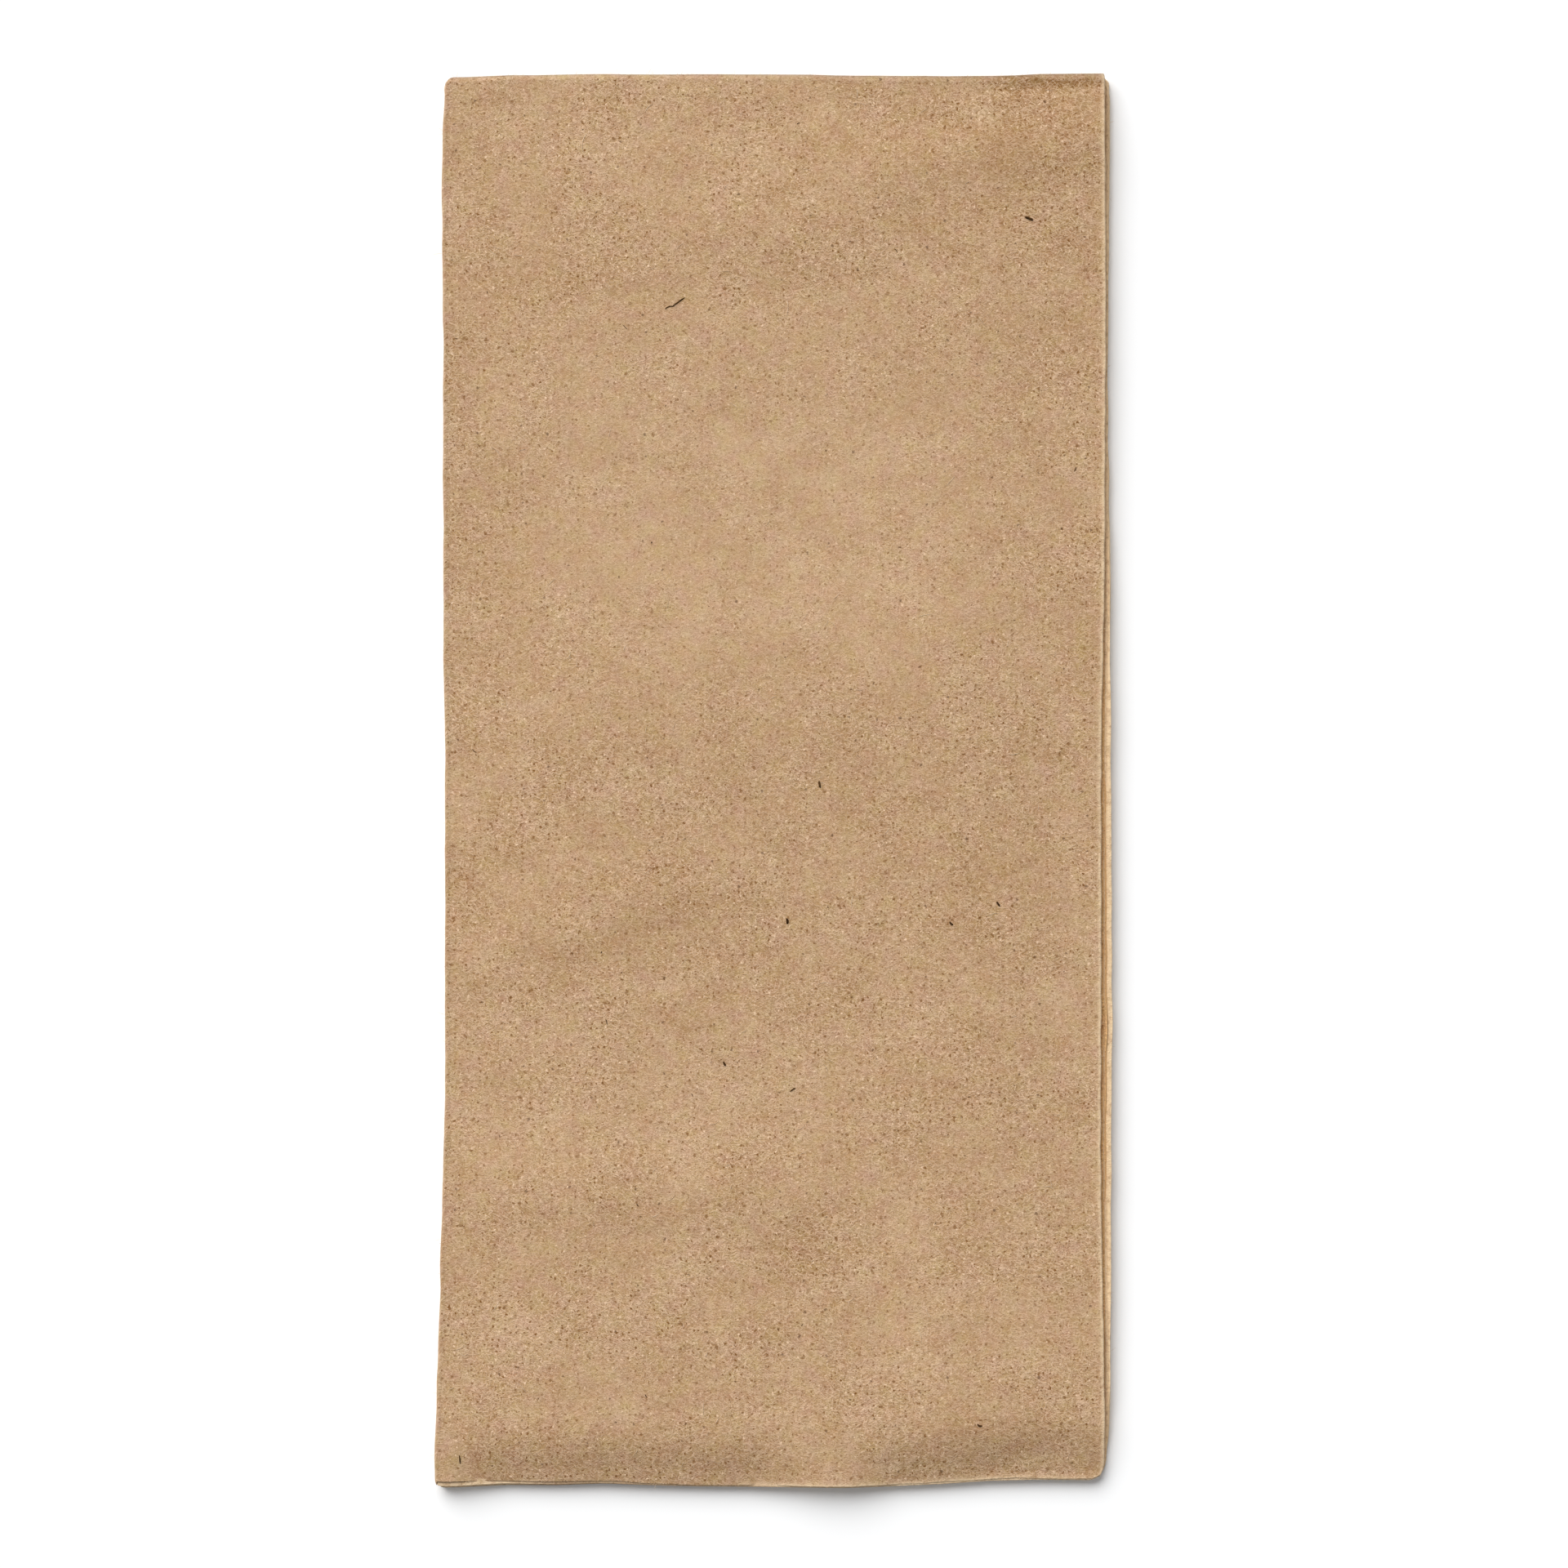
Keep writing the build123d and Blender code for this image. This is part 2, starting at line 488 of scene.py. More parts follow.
rims = []
for number, faces in enumerate(cut_edges):
    ends = rim_left + np.linspace(0, 1, len(faces) + 1) * rim_length
    low = np.full(len(faces), rim_bottom + number * rim_step)
    high = low + rim_height
    corners = ((ends[:-1], low), (ends[1:], low), (ends[1:], high), (ends[:-1], high))
    rims.append(np.stack([np.stack(corner, axis=1) for corner in corners], axis=1))
painting_map = napkin_mesh.uv_layers.new(name="OFBake")
painted = np.concatenate((square, inner_square, *rims)).astype(np.float32)
painting_map.uv.foreach_set("vector", painted.ravel())


def mark(name, values):
    """Gives every point of both faces a number, which the material reads by its name."""
    layer = napkin_mesh.attributes.new(name, "FLOAT", "POINT")
    layer.data.foreach_set("value", np.tile(values.ravel(), 2).astype(np.float32))


# Where the mesh's rows and columns are: on the flat sheet, from its cut edges, across the strip,
# and across and down the top face
row_along, column_across = along[:, None], across[None, :]
to_side = np.minimum(column_across, sheet_width - column_across)
to_end = sheet_length / 2 - np.abs(row_along)
strip_x = strip_path(across)[0][None, :]
on_x = column_across - stretch_ends[2]
on_down = row_along - math.pi * outer_leaf_height / 2
outside = (column_across > outer_leaf[0]) & (column_across < outer_leaf[1])
on_first_leaf = (column_across < stretch_ends[1]) & (row_along < 0)
in_cross_fold = near(row_along - 0.4 * mm, 0.75 * mm) * np.ones(column_count)

# The paper is frayed and pale along the turns of its folds: the left one, the right one and the hidden
# one, each with its width on the upper half and on the lower. The wide band on the lower half's right
# fold is partly painted highlight, on paper that lies in the upper half's shade.
apexes = (outer_leaf[0], outer_leaf[1], stretch_ends[5] + tight_turn / 2)
fold_wear_and_highlight = 0.15 * near(row_along, 0.4 * mm) * np.ones(column_count)
for apex, width_above, width_below in zip(apexes, (0.15, 0.45, 0.3), (0.4, 2.2, 0.3)):
    width = np.where(row_along > 0, width_above, width_below) * mm
    fold_wear_and_highlight = np.maximum(fold_wear_and_highlight, near(column_across - apex, width))
mark("fold_wear_and_painted_highlight", fold_wear_and_highlight)

# A leaf's cut edge is pale, and the top leaf's only towards the right
covered = ease(strip_x, 9 * mm, 14 * mm) * (1 - ease(strip_x, 44 * mm, 50 * mm))
inner_cut = near(np.minimum(to_side, to_end), 0.9 * mm) * (1 - 0.6 * covered)
inner_cut = inner_cut * np.where(on_first_leaf & (to_side < to_end), 0.3, 1)
outer_cut = near(to_end, 0.4 * mm) * (0.25 + 0.65 * ease(strip_x, 42 * mm, 50 * mm))
outer_cut = outer_cut * (1 - 0.35 * ease(strip_x, 78 * mm, 84 * mm))
mark("cut_edge", np.where(outside, outer_cut, inner_cut))

# Painted shade: the top face is darker along creases, each with its strength, ends and width, along that
# face's open end, where it stands for the shadow of the outer leaf's cut end, and along the right of the
# cross fold
shaded_creases = (
    (1.4, (84, 0.6), (99, 0.3), 0.7),
    (0.24, (46, 21), (93, 14), 2.6),
    (0.22, (14, 128), (40, 116), 3.0),
)
painted_crease_shade = (1 - 0.75 * ease(on_x, 30 * mm, 40 * mm)) * near(to_end, 0.3 * mm)
for amount, start, end, width in shaded_creases:
    painted_crease_shade = painted_crease_shade + amount * ridge(on_x, on_down, start, end, width)
painted_crease_shade = np.where(outside & (on_down > -1 * mm), painted_crease_shade, 0)
mark("painted_crease_shade", np.maximum(painted_crease_shade, 0.6 * in_cross_fold * ease(on_x, 66 * mm, 76 * mm)))

# The turns of the cross fold and of the upper half's left fold are rubbed smooth, and carry painted shade
# that darkens them where the lamp meets them face-on
in_left_fold = near(column_across - apexes[0] - 0.4 * mm, 0.5 * mm) * (row_along > 0)
mark("rubbed_and_shaded_fold", np.maximum(1.12 * in_cross_fold, 0.33 * in_left_fold))

# Painted light: a warm tint on the lower half's right edge stands in for light that comes through the
# paper and turns warm on its way
painted_glow_at_gap = ease(strip_x, strip_run - 4 * mm, strip_run - 2 * mm) * (row_along < 0)
mark("painted_glow_at_gap", painted_glow_at_gap * np.where(on_first_leaf, 1, 0.22))


def place(tree, kind, inputs=None, **settings):
    """Adds a node. Inputs are given by name or number, as values or as other nodes' outputs."""
    made = tree.nodes.new(kind)
    for name, value in settings.items():
        setattr(made, name, value)
    for name, value in (inputs or {}).items():
        if isinstance(value, bpy.types.NodeSocket):
            tree.links.new(value, made.inputs[name])
        else:
            made.inputs[name].default_value = value
    return made


def sum_up(tree, operation, *values):
    """The output of a Math node."""
    return place(tree, "ShaderNodeMath", dict(enumerate(values)), operation=operation).outputs[0]


def plus(tree, total, value, amount):
    """The total, with the value times the amount added."""
    return sum_up(tree, "ADD", total, sum_up(tree, "MULTIPLY", value, amount))


def sum_up_vectors(tree, operation, first, second):
    """The vector that comes out of a Vector Math node."""
    return place(tree, "ShaderNodeVectorMath", {0: first, 1: second}, operation=operation).outputs[0]


def scaled(tree, vector, amount):
    """The vector times the amount."""
    return place(tree, "ShaderNodeVectorMath", {0: vector, 3: amount}, operation="SCALE").outputs[0]


def speckle(tree, vector, per_mm, detail=2.0, roughness=0.5):
    """The output of a flat noise, from 0 to 1 and mostly near a half."""
    inputs = {"Vector": vector, "Scale": per_mm, "Detail": detail, "Roughness": roughness}
    return place(tree, "ShaderNodeTexNoise", inputs, noise_dimensions="2D").outputs[0]


def spread(tree, value, low, high, to_low=0.0, to_high=1.0):
    """The output of a Map Range node with soft ends."""
    inputs = {"Value": value, "From Min": low, "From Max": high, "To Min": to_low, "To Max": to_high}
    return place(tree, "ShaderNodeMapRange", inputs, interpolation_type="SMOOTHSTEP").outputs[0]


def blend(tree, share, first, second):
    """The colour output of a Mix node."""
    inputs = {0: share, 6: first, 7: second}
    return place(tree, "ShaderNodeMix", inputs, data_type="RGBA").outputs[2]


def new_group(name, inputs, outputs):
    """A node group with float sockets, apart from Vector, and its two end nodes."""
    group = bpy.data.node_groups.new(name, "ShaderNodeTree")
    for socket in inputs:
        kind = "NodeSocketVector" if socket == "Vector" else "NodeSocketFloat"
        group.interface.new_socket(socket, in_out="INPUT", socket_type=kind)
    for socket in outputs:
        group.interface.new_socket(socket, in_out="OUTPUT", socket_type="NodeSocketFloat")
    return group, group.nodes.new("NodeGroupInput").outputs, group.nodes.new("NodeGroupOutput").inputs


def build_strands():
    """Fibres that lie near one direction: short strokes with blank paper between them."""
    names = ("Vector", "Turn", "Length", "Width", "Rarity")
    group, given, result = new_group("strands", names, ("Strand",))
    far_off = (-310.0, -470.0, 0.0)
    turn = {"Vector": given["Vector"], "Center": far_off, "Angle": given["Turn"]}
    turned = place(group, "ShaderNodeVectorRotate", turn, rotation_type="Z_AXIS")
    size = place(group, "ShaderNodeCombineXYZ", {0: given["Length"], 1: given["Width"], 2: 1.0})
    drawn = sum_up_vectors(group, "DIVIDE", turned.outputs[0], size.outputs[0])
    full = sum_up(group, "ADD", given["Rarity"], 0.10)
    strand = spread(group, speckle(group, drawn, 1.0, 1.0), given["Rarity"], full)
    group.links.new(strand, result["Strand"])
    return group


def build_flecks():
    """Scattered bits of bark and coarse fibre, each a small uneven dot."""
    group, given, result = new_group("flecks", ("Vector", "Spacing", "Size", "Share"), ("Fleck",))
    vector, spacing = given["Vector"], given["Spacing"]
    noise = place(group, "ShaderNodeTexNoise", {"Vector": vector, "Scale": 1.7}, noise_dimensions="2D")
    pushed = sum_up_vectors(group, "ADD", vector, scaled(group, noise.outputs[1], 0.5))
    grid = {"Vector": pushed, "Scale": sum_up(group, "DIVIDE", 1.0, spacing)}
    cells = place(group, "ShaderNodeTexVoronoi", grid, voronoi_dimensions="2D").outputs
    luck = place(group, "ShaderNodeSeparateColor", {"Color": cells["Color"]}).outputs
    radius = sum_up(group, "MULTIPLY", given["Size"], sum_up(group, "ADD", luck[1], 0.4))
    radius = sum_up(group, "DIVIDE", radius, spacing)
    full_until = sum_up(group, "MULTIPLY", radius, 0.4)
    dot = spread(group, cells["Distance"], full_until, radius, 1.0, 0.0)
    chosen = sum_up(group, "LESS_THAN", luck[0], given["Share"])
    group.links.new(sum_up(group, "MULTIPLY", dot, chosen), result["Fleck"])
    return group


strands = build_strands()
flecks = build_flecks()


def all_strands(tree, vector, turns, length, width, rarity):
    """Strands in several directions at once, the strongest winning."""
    size = {"Vector": vector, "Length": length, "Width": width, "Rarity": rarity}
    found = 0.0
    for turn in turns:
        inputs = {**size, "Turn": math.radians(turn)}
        layer = place(tree, "ShaderNodeGroup", inputs, node_tree=strands)
        found = sum_up(tree, "MAXIMUM", found, layer.outputs[0])
    return found


def all_flecks(tree, vector, spacing, size, share):
    """The output of one scatter of flecks."""
    inputs = {"Vector": vector, "Spacing": spacing, "Size": size, "Share": share}
    return place(tree, "ShaderNodeGroup", inputs, node_tree=flecks).outputs[0]


# The tissue's colours, and a factor that leaves a colour as it is
kraft_brown = (0.463, 0.289, 0.153, 1)
fibre_cream = (0.860, 0.615, 0.420, 1)
fibre_brown = (0.190, 0.074, 0.009, 1)
bark = (0.085, 0.032, 0.006, 1)
fold_cream = (0.780, 0.590, 0.380, 1)
unchanged = (1.0, 1.0, 1.0)


def off_centre(tree, noise, amount):
    """A noise brought to lie evenly about 0, and made stronger or weaker."""
    return sum_up(tree, "MULTIPLY", sum_up(tree, "SUBTRACT", noise, 0.5), amount)


def moved(tree, vector, x, y):
    """The same places shifted, so that a second pattern doesn't fall on the first."""
    return sum_up_vectors(tree, "ADD", vector, (x, y, 0.0))


def marked(tree, name):
    """The number that was marked on the mesh under this name."""
    return place(tree, "ShaderNodeAttribute", attribute_name=name).outputs["Fac"]


def patch_of_face(tree, flat, clouds, x, down, half_width, half_height):
    """1 inside an uneven patch of the top face and 0 outside it, in millimetres."""
    in_cross_turn = 1.4
    centre = (stretch_ends[2] / mm + x, sheet_length / 2 / mm + down + in_cross_turn, 0.0)
    aside = sum_up_vectors(tree, "SUBTRACT", flat, centre)
    shrunk = sum_up_vectors(tree, "DIVIDE", aside, (half_width, half_height, 1.0))
    reach = place(tree, "ShaderNodeVectorMath", {0: shrunk}, operation="LENGTH").outputs["Value"]
    ragged = sum_up(tree, "ADD", reach, off_centre(tree, clouds, 1.2))
    return spread(tree, ragged, 0.55, 1.25, 1.0, 0.0)


def lay_felt(tree, flat):
    """What the felt is like at each place, by name. It lies unevenly, in thick and thin clouds down
    to single fibres, drawn out a little across the strip, the way that the pulp ran onto the wire."""
    combed = sum_up_vectors(tree, "MULTIPLY", flat, (0.8, 1.1, 1.0))
    grained = sum_up_vectors(tree, "MULTIPLY", flat, (0.92, 1.02, 1.0))
    felt = {
        "drifts": speckle(tree, combed, 0.045, 2.0),
        "clouds": speckle(tree, combed, 0.15, 2.0, 0.6),
        "mottle": speckle(tree, combed, 0.62, 3.0, 0.65),
        "grain": speckle(tree, grained, 3.1, 2.0, 0.9),
        "pale": all_strands(tree, flat, (4, 31, -25, 78, 132), 1.2, 0.19, 0.61),
        "brown": all_strands(tree, flat, (-9, 12, 38, 104, 158), 0.9, 0.21, 0.61),
    }
    # One patch was pressed smooth, and so were the turns of the folds
    felt["pressed"] = patch_of_face(tree, flat, felt["clouds"], 46.0, 64.0, 39.0, 29.0)
    rough = spread(tree, speckle(tree, flat, 0.09, 2.0), 0.3, 0.7, 0.8, 1.2)
    rough = sum_up(tree, "MULTIPLY", rough, spread(tree, felt["pressed"], 0.0, 1.0, 1.0, 0.72))
    in_fold = spread(tree, marked(tree, "rubbed_and_shaded_fold"), 0.0, 1.0, 1.0, 0.6)
    felt["rough"] = sum_up(tree, "MULTIPLY", rough, in_fold)
    return felt


# Painted light and shade: patches of the top face a little paler than the rest, or darker, as its soft
# relief would be lit and shaded. Each has the middle across and down it, half the width, half the height,
# and how much paler
painted_light_and_shade_patches = (
    (30.0, 147.0, 36.0, 10.0, 0.045),
    (77.0, 181.0, 17.0, 9.0, 0.065),
    (17.0, 178.0, 15.0, 8.0, 0.045),
    (52.0, 168.0, 9.0, 4.0, -0.09),
    (76.0, 7.0, 26.0, 9.0, -0.06),
    (88.0, 5.0, 13.0, 7.0, -0.09),
    (50.0, 113.0, 60.0, 22.0, -0.03),
    (70.0, 22.0, 32.0, 8.0, -0.04),
    (26.0, 199.0, 27.0, 6.0, -0.06),
    (82.0, 199.0, 17.0, 6.0, -0.06),
)


def felt_tone(tree, flat, felt):
    """How pale the felt is: 0 at its own brown, and less where it is darker. It carries the painted light
    and shade of the patches and the painted shade along the creases.
    """
    tone = off_centre(tree, felt["grain"], 0.82)
    tone = sum_up(tree, "ADD", tone, off_centre(tree, felt["mottle"], 0.25))
    tone = sum_up(tree, "MULTIPLY", tone, felt["rough"])
    tone = sum_up(tree, "ADD", tone, off_centre(tree, felt["clouds"], 0.44))
    tone = sum_up(tree, "ADD", tone, off_centre(tree, felt["drifts"], 0.2))
    tone = plus(tree, tone, felt["pressed"], 0.07)
    # Painted light and shade in patches of the top face
    for *area, paler in painted_light_and_shade_patches:
        tone = plus(tree, tone, patch_of_face(tree, flat, felt["clouds"], *area), paler)
    # Painted shade along the creases, at the open end and beside the cross fold
    return plus(tree, tone, marked(tree, "painted_crease_shade"), -0.28)


def felt_colour(tree, flat, tone):
    """The felt's brown with its pink and yellow tints. Pale felt is less yellow than dark felt."""
    pink_tints = speckle(tree, moved(tree, flat, 40.0, 0.0), 0.38, 2.0, 0.45)
    blue_tints = speckle(tree, moved(tree, flat, 0.0, 40.0), 0.36, 2.0, 0.45)
    pinker = sum_up(tree, "ADD", off_centre(tree, pink_tints, 0.27), 1.0)
    bluer = sum_up(tree, "ADD", off_centre(tree, blue_tints, 0.38), 1.0)
    tint = place(tree, "ShaderNodeCombineXYZ", {0: 1.0, 1: pinker, 2: bluer}).outputs[0]
    tinted = sum_up_vectors(tree, "MULTIPLY", kraft_brown[:3], tint)
    bleach = scaled(tree, (0.74, 1.0, 1.46), tone)
    return sum_up_vectors(tree, "MULTIPLY", tinted, sum_up_vectors(tree, "ADD", bleach, unchanged))


def with_fibres(tree, flat, felt, colour):
    """The colour with the fibres and bits that show one by one."""
    pale_bits = all_flecks(tree, moved(tree, flat, 71.0, 13.0), 1.05, 0.14, 0.5)
    brown_bits = all_flecks(tree, flat, 0.9, 0.16, 0.5)
    coarse_bits = all_flecks(tree, moved(tree, flat, 47.0, 91.0), 1.7, 0.24, 0.5)
    specks = all_flecks(tree, moved(tree, flat, 23.0, 57.0), 3.4, 0.19, 0.35)
    for mask, strength, shade in (
        (felt["brown"], 0.33, fibre_brown),
        (felt["pale"], 0.35, fibre_cream),
        (brown_bits, 0.8, fibre_brown),
        (coarse_bits, 0.62, fibre_brown),
        (pale_bits, 0.65, fibre_cream),
    ):
        share = sum_up(tree, "MULTIPLY", sum_up(tree, "MULTIPLY", mask, felt["rough"]), strength)
        colour = blend(tree, share, colour, shade)
    return blend(tree, sum_up(tree, "MULTIPLY", specks, 0.65), colour, bark)


def with_edge_wear_and_painted_light(tree, flat, colour):
    """The colour as it changes at folds and cut edges. Frayed fibres at folds and cut edges are pale,
    with a painted highlight on the lower half's right fold. A painted warm glow stands for light through
    the paper, and painted shade darkens the turns of the cross fold and the left fold."""
    # Pale frayed fibres at folds and cut edges, and a painted highlight on the lower half's right fold
    pale_wear_and_highlight = sum_up(tree, "MULTIPLY", marked(tree, "fold_wear_and_painted_highlight"), 0.9)
    pale_wear_and_highlight = sum_up(tree, "MAXIMUM", pale_wear_and_highlight, marked(tree, "cut_edge"))
    uneven = spread(tree, speckle(tree, flat, 1.1, 3.0), 0.3, 0.6, 0.45, 1.0)
    colour = blend(tree, sum_up(tree, "MULTIPLY", pale_wear_and_highlight, uneven), colour, fold_cream)
    # A painted warm glow where light would come through the paper
    painted_warm_glow = scaled(tree, (0.14, 0.0, -0.26), marked(tree, "painted_glow_at_gap"))
    # Painted shade on the turns of the cross fold and the left fold
    painted_fold_shade = scaled(tree, (0.40, 0.37, 0.33), marked(tree, "rubbed_and_shaded_fold"))
    change = sum_up_vectors(tree, "ADD", painted_warm_glow, unchanged)
    change = sum_up_vectors(tree, "SUBTRACT", change, painted_fold_shade)
    return sum_up_vectors(tree, "MULTIPLY", colour, change)


def felt_relief(tree, felt):
    """How high the felt stands. Pale fibres lie on top of it, and brown ones show in its hollows."""
    height = plus(tree, felt["grain"], felt["mottle"], 1.2)
    height = plus(tree, height, felt["pale"], 0.6)
    height = plus(tree, height, felt["brown"], -0.5)
    return sum_up(tree, "MULTIPLY", height, felt["rough"])


def kraft_tissue_material():
    """Unbleached tissue: a felt of pale and brown fibres with bits of bark in it."""
    material = bpy.data.materials.new("kraft_tissue")
    material.use_nodes = True
    tree = material.node_tree
    shader = tree.nodes["Principled BSDF"]
    flat = scaled(tree, place(tree, "ShaderNodeUVMap", uv_map="flat_sheet").outputs[0], 1 / mm)
    felt = lay_felt(tree, flat)
    colour = felt_colour(tree, flat, felt_tone(tree, flat, felt))
    colour = with_fibres(tree, flat, felt, colour)
    colour = with_edge_wear_and_painted_light(tree, flat, colour)
    relief = {"Strength": 0.5, "Distance": 0.07 * mm, "Height": felt_relief(tree, felt)}
    bump = place(tree, "ShaderNodeBump", relief)
    dryness = plus(tree, felt["mottle"], felt["pressed"], -0.3)
    tree.links.new(colour, shader.inputs["Base Color"])
    tree.links.new(spread(tree, dryness, 0.0, 1.0, 0.8, 0.98), shader.inputs["Roughness"])
    tree.links.new(bump.outputs[0], shader.inputs["Normal"])
    shader.inputs["Specular IOR Level"].default_value = 0.25
    shader.inputs["Sheen Weight"].default_value = 0.08
    shader.inputs["Sheen Roughness"].default_value = 0.6
    return material


napkin_mesh.materials.append(kraft_tissue_material())
napkin = bpy.data.objects.new("napkin_sheet", napkin_mesh)
bpy.context.scene.collection.objects.link(napkin)
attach(napkin, "root")
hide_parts("folded_napkin")

# ---------------------------------------------------------------------------------------------
# Loose fibres and bark. Wood fibres that stand free of the tissue's face, its folds and its cut
# edges, and a few splinters of bark caught in it. They are held by nothing but the felt.
# ---------------------------------------------------------------------------------------------


def top_spot(x, down):
    """Where points of the top face were on the flat sheet, from millimetres across and down it."""
    x, down = np.asarray(x, dtype=float) * mm, np.asarray(down, dtype=float) * mm
    turned = math.pi * outer_leaf_height / 2 - (x - strip_run / 2) * math.tan(lean)
    return stretch_ends[2] + x, down + turned


def on_face(across, along, lift):
    """Points at a lift above the outer face."""
    return folded_surface(across, along) + outward(across, along) * (leaf_thickness / 2 + lift)[:, None]


def hair(points, thickness, blunt):
    """The corners and faces of one fibre: four-sided, and pointed at its ends unless blunt."""
    points = np.asarray(points)
    way = np.gradient(points, axis=0)
    way = way / np.linalg.norm(way, axis=1, keepdims=True)
    sideways = np.cross(way, (0.3, 0.2, 0.93))
    sideways = sideways / np.linalg.norm(sideways, axis=1, keepdims=True)
    upward = np.cross(sideways, way)
    count = len(points)
    taper = np.clip(1 - np.abs(np.linspace(-1, 1, count)) ** (6 if blunt else 3), 0.25, 1)[:, None]
    half = thickness / 2 * taper
    to_side, to_top = sideways * half, upward * half
    rings = np.stack((points + to_side, points + to_top, points - to_side, points - to_top), axis=1)
    faces = []
    for i in range(count - 1):
        for k in range(4):
            a, b = 4 * i + k, 4 * i + (k + 1) % 4
            faces.append((a, b, b + 4, a + 4))
    faces.append((3, 2, 1, 0))
    last = 4 * (count - 1)
    faces.append((last, last + 1, last + 2, last + 3))
    return rings.reshape(-1, 3), faces


def gather(name, hairs, material):
    """One object from many fibres."""
    corners, faces, begun = [], [], 0
    for points, thickness, blunt in hairs:
        rings, sides = hair(points, thickness, blunt)
        corners.extend(rings.tolist())
        faces.extend([tuple(begun + corner for corner in side) for side in sides])
        begun += len(rings)
    mesh = bpy.data.meshes.new(name)
    mesh.from_pydata(corners, [], faces)
    mesh.polygons.foreach_set("use_smooth", [True] * len(mesh.polygons))
    mesh.materials.append(material)
    made = bpy.data.objects.new(name, mesh)
    bpy.context.scene.collection.objects.link(made)
    return made


random = np.random.default_rng(86)


def face_fibre(length):
    """A fibre lying on the top face with one end a little free. Its length is in millimetres."""
    steps = 6
    x, down = random.uniform(1.5, 93.5), random.uniform(1.0, 201.0)
    way = random.uniform(0, math.pi)
    bend = random.normal(0, 0.9)
    share = np.linspace(-0.5, 0.5, steps + 1)
    angle = way + bend * share
    path_x = x + np.cumsum(np.cos(angle)) * length / steps - length / 2 * math.cos(way)
    path_down = down + np.cumsum(np.sin(angle)) * length / steps - length / 2 * math.sin(way)
    rise = (0.02 + 0.10 * ((share + 0.5) ** 2) * random.uniform(0, 1)) * mm
    return on_face(*top_spot(np.clip(path_x, 0.2, 94.8), np.clip(path_down, 0.3, 201.9)), rise)


def edge_fibre(across_at, along_at, length):
    """A fibre that stands out of a fold or a cut edge."""
    share = np.linspace(0, 1, 6)[:, None]
    root = folded_surface(np.array([across_at]), np.array([along_at]))[0]
    out = outward(np.array([across_at]), np.array([along_at]))[0]
    drift_way = random.normal(0, 1, 3) * (1, 1, 0.35)
    curl = random.normal(0, 1, 3) * (1, 1, 0.3)
    path = root + out * length * share
    path = path + drift_way * 0.45 * length * share
    path = path + curl * 0.35 * length * share**2
    path[:, 2] = np.maximum(path[:, 2], 0.03 * mm)
    return path


pale_hairs = []
for _ in range(230):
    fibre = face_fibre(random.uniform(0.5, 2.0))
    pale_hairs.append((fibre, random.uniform(0.03, 0.06) * mm, False))
for _ in range(330):
    edge = random.integers(0, 4)
    down_sheet = random.uniform(-sheet_length / 2, sheet_length / 2)
    if edge == 0:
        spot_at = (apexes[0], down_sheet)
    elif edge == 1:
        spot_at = (apexes[1], down_sheet)
    elif edge == 2:
        spot_at = (random.uniform(*outer_leaf), random.uniform(-0.5, 0.5) * mm)
    else:
        spot_at = (random.uniform(*outer_leaf), sheet_length / 2 - 0.1 * mm)
    fibre = edge_fibre(*spot_at, random.uniform(0.15, 0.6) * mm)
    pale_hairs.append((fibre, random.uniform(0.02, 0.04) * mm, False))

# The longest pale fibres, each a few points across and down the top face in millimetres
long_pale = (
    ((59.1, 1.0), (59.4, 1.7), (59.2, 2.6)),
    ((49.2, 31.3), (49.4, 32.6), (49.2, 33.9)),
    ((68.3, 179.0), (68.9, 180.2), (69.0, 181.4)),
    ((11.0, 187.2), (11.8, 187.8), (12.4, 188.7)),
    ((20.4, 7.8), (19.8, 9.0), (19.9, 10.4)),
    ((6.3, 52.6), (7.2, 53.0), (8.0, 54.0)),
)


def drawn_on_face(knots, lift=0.04):
    """A smooth line on the top face through three given points."""
    count = 9
    share = np.linspace(0, 1, count)[:, None]
    first, second, third = (np.array(knot) for knot in knots)
    pull = 2 * second - (first + third) / 2
    line = first * (1 - share) ** 2 + pull * 2 * share * (1 - share) + third * share**2
    return on_face(*top_spot(line[:, 0], line[:, 1]), np.full(count, lift * mm))


for knots in long_pale:
    pale_hairs.append((drawn_on_face(knots), 0.07 * mm, False))

# Splinters of bark, the same way and each with its width
splinters = [
    (((83.6, 19.6), (84.2, 19.8), (84.8, 20.1)), 0.42),
    (((31.7, 32.9), (32.2, 32.5), (32.9, 32.5)), 0.18),
    (((32.7, 32.5), (33.5, 31.9), (34.5, 31.2)), 0.22),
    (((54.1, 100.4), (54.2, 100.9), (54.3, 101.4)), 0.34),
    (((49.3, 120.1), (49.5, 120.5), (49.4, 120.9)), 0.40),
    (((73.1, 120.6), (73.3, 120.9), (73.6, 121.1)), 0.30),
    (((79.9, 117.7), (80.1, 118.0), (80.4, 118.4)), 0.32),
    (((40.1, 140.7), (40.3, 141.0), (40.4, 141.3)), 0.34),
    (((49.9, 145.0), (50.3, 144.7), (50.7, 144.5)), 0.20),
    (((77.0, 193.5), (77.3, 193.8), (77.7, 193.8)), 0.30),
    (((3.1, 197.8), (3.2, 198.4), (3.2, 199.1)), 0.20),
]
for _ in range(24):
    x, down = random.uniform(2, 93), random.uniform(2, 200)
    reach_x, reach_down = random.normal(0, 0.16, 2)
    bow = random.normal(0, 0.08, 2)
    begin, middle = (x - reach_x, down - reach_down), (x + bow[0], down + bow[1])
    finish = (x + reach_x, down + reach_down)
    splinters.append(((begin, middle, finish), random.uniform(0.07, 0.14)))
dark_hairs = [(drawn_on_face(knots, lift=0.02), width * mm, True) for knots, width in splinters]


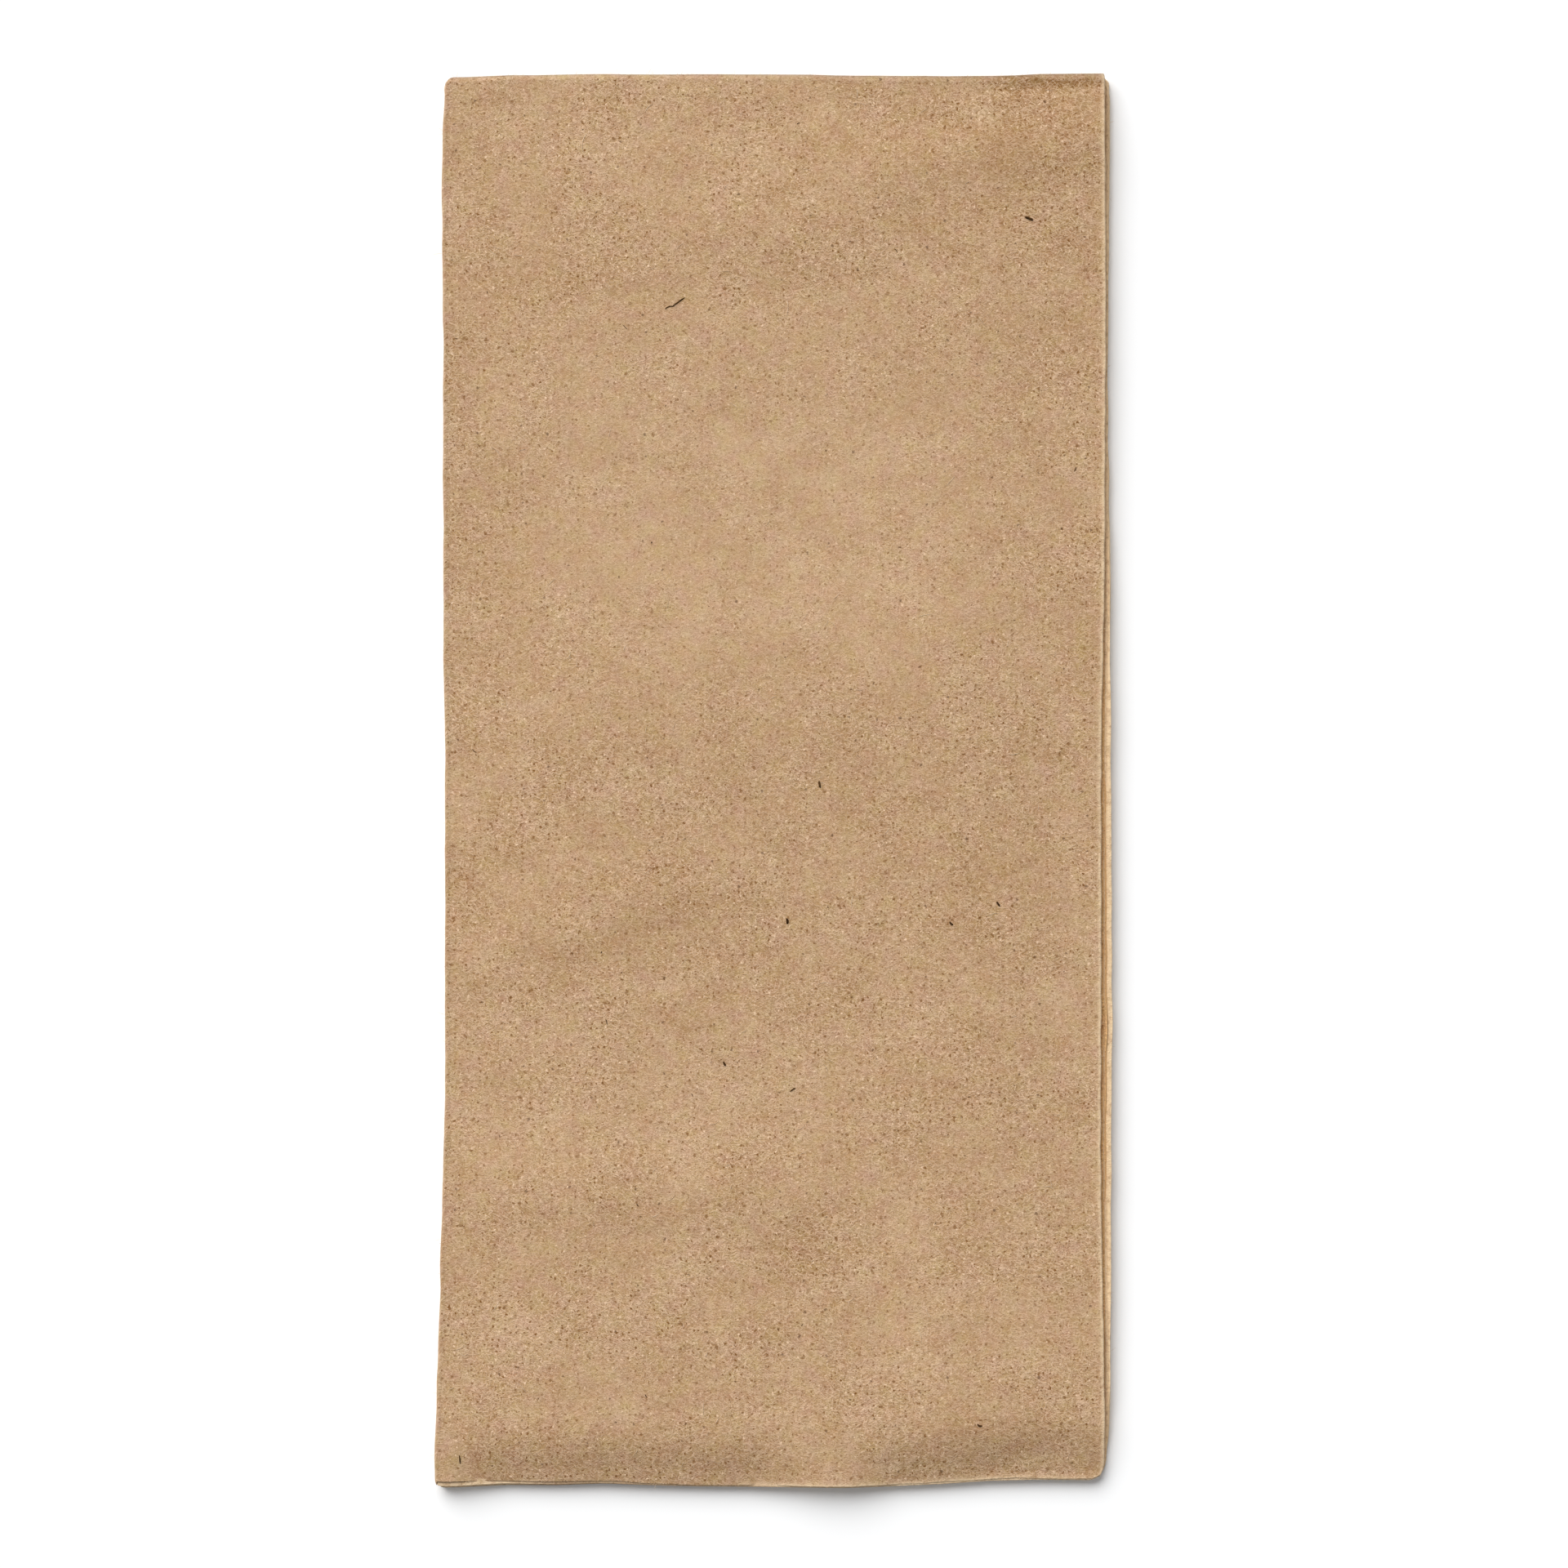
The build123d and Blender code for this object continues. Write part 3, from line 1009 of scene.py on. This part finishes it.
def fibre_material(name, light, dark, roughness, shine):
    """Bare fibre whose colour changes from one to the next."""
    material = bpy.data.materials.new(name)
    material.use_nodes = True
    tree = material.node_tree
    shader = tree.nodes["Principled BSDF"]
    in_mm = scaled(tree, place(tree, "ShaderNodeTexCoord").outputs["Object"], 1 / mm)
    patches = spread(tree, speckle(tree, in_mm, 0.9, 1.0), 0.3, 0.7)
    fine = speckle(tree, in_mm, 6.0, 1.0)
    bump = place(tree, "ShaderNodeBump", {"Strength": 0.4, "Distance": 0.02 * mm, "Height": fine})
    tree.links.new(blend(tree, patches, dark, light), shader.inputs["Base Color"])
    fine_roughness = spread(tree, fine, 0.0, 1.0, roughness - 0.1, roughness + 0.1)
    tree.links.new(fine_roughness, shader.inputs["Roughness"])
    tree.links.new(bump.outputs[0], shader.inputs["Normal"])
    shader.inputs["Specular IOR Level"].default_value = shine
    return material


wood_pale, wood_tan = (0.74, 0.60, 0.44, 1), (0.58, 0.42, 0.27, 1)
bark_brown, bark_black = (0.085, 0.040, 0.012, 1), (0.035, 0.015, 0.004, 1)
pale_fibre = fibre_material("pale_fibre", wood_pale, wood_tan, roughness=0.85, shine=0.25)
bark_splinter = fibre_material("bark_splinter", bark_brown, bark_black, roughness=0.8, shine=0.05)
loose_fibres = gather("loose_fibres", pale_hairs, pale_fibre)
bark_splinters = gather("bark_splinters", dark_hairs, bark_splinter)
for piece in (loose_fibres, bark_splinters):
    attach(piece, "root")

# ---------------------------------------------------------------------------------------------
# The table, the light and the camera. A plain white table under one broad soft light from behind
# the napkin's left side and an even white room, with the camera straight above.
# ---------------------------------------------------------------------------------------------

floor_mesh = bpy.data.meshes.new("white_table")
floor_mesh.from_pydata([(-3, -3, 0), (3, -3, 0), (3, 3, 0), (-3, 3, 0)], [], [(0, 1, 2, 3)])
floor = bpy.data.objects.new("white_table", floor_mesh)
bpy.context.scene.collection.objects.link(floor)
white = bpy.data.materials.new("white_table")
white.use_nodes = True
white.node_tree.nodes["Principled BSDF"].inputs["Base Color"].default_value = (0.94, 0.94, 0.94, 1)
white.node_tree.nodes["Principled BSDF"].inputs["Specular IOR Level"].default_value = 0.0
floor_mesh.materials.append(white)

broad_light = bpy.data.lights.new("broad_light", "SUN")
broad_light.energy = 4.53
broad_light.angle = math.radians(60)
lamp = bpy.data.objects.new("broad_light", broad_light)
bpy.context.scene.collection.objects.link(lamp)
bearing = math.radians(118)
rise = math.radians(35)
level = math.cos(rise)
to_light = Vector((math.cos(bearing) * level, math.sin(bearing) * level, math.sin(rise)))
lamp.rotation_mode = "QUATERNION"
lamp.rotation_quaternion = to_light.to_track_quat("Z", "Y")

room = bpy.data.worlds.new("white_room")
bpy.context.scene.world = room
room.use_nodes = True
lit_by = room.node_tree.nodes["Background"]
lit_by.inputs["Color"].default_value = (0.98, 1, 1.02, 1)
lit_by.inputs["Strength"].default_value = 0.3
# Past the table's edge the room is as white as the table
seen = place(room.node_tree, "ShaderNodeBackground", {"Color": (1, 1, 1, 1)}).outputs[0]
who_looks = place(room.node_tree, "ShaderNodeLightPath").outputs["Is Camera Ray"]
shown = {0: who_looks, 1: lit_by.outputs[0], 2: seen}
both = place(room.node_tree, "ShaderNodeMixShader", shown)
room.node_tree.links.new(both.outputs[0], room.node_tree.nodes["World Output"].inputs["Surface"])

camera_data = bpy.data.cameras.new("camera")
camera_data.sensor_width = 36
camera_data.lens = 100
camera_data.clip_start = 0.01
camera = bpy.data.objects.new("camera", camera_data)
bpy.context.scene.collection.objects.link(camera)
view_width = 226.8 * mm
middle_height = 1.2 * mm
far = view_width * camera_data.lens / camera_data.sensor_width
camera.location = (1.4 * mm, -0.35 * mm, middle_height + far)
bpy.context.scene.camera = camera
bpy.context.scene.view_settings.view_transform = "Standard"
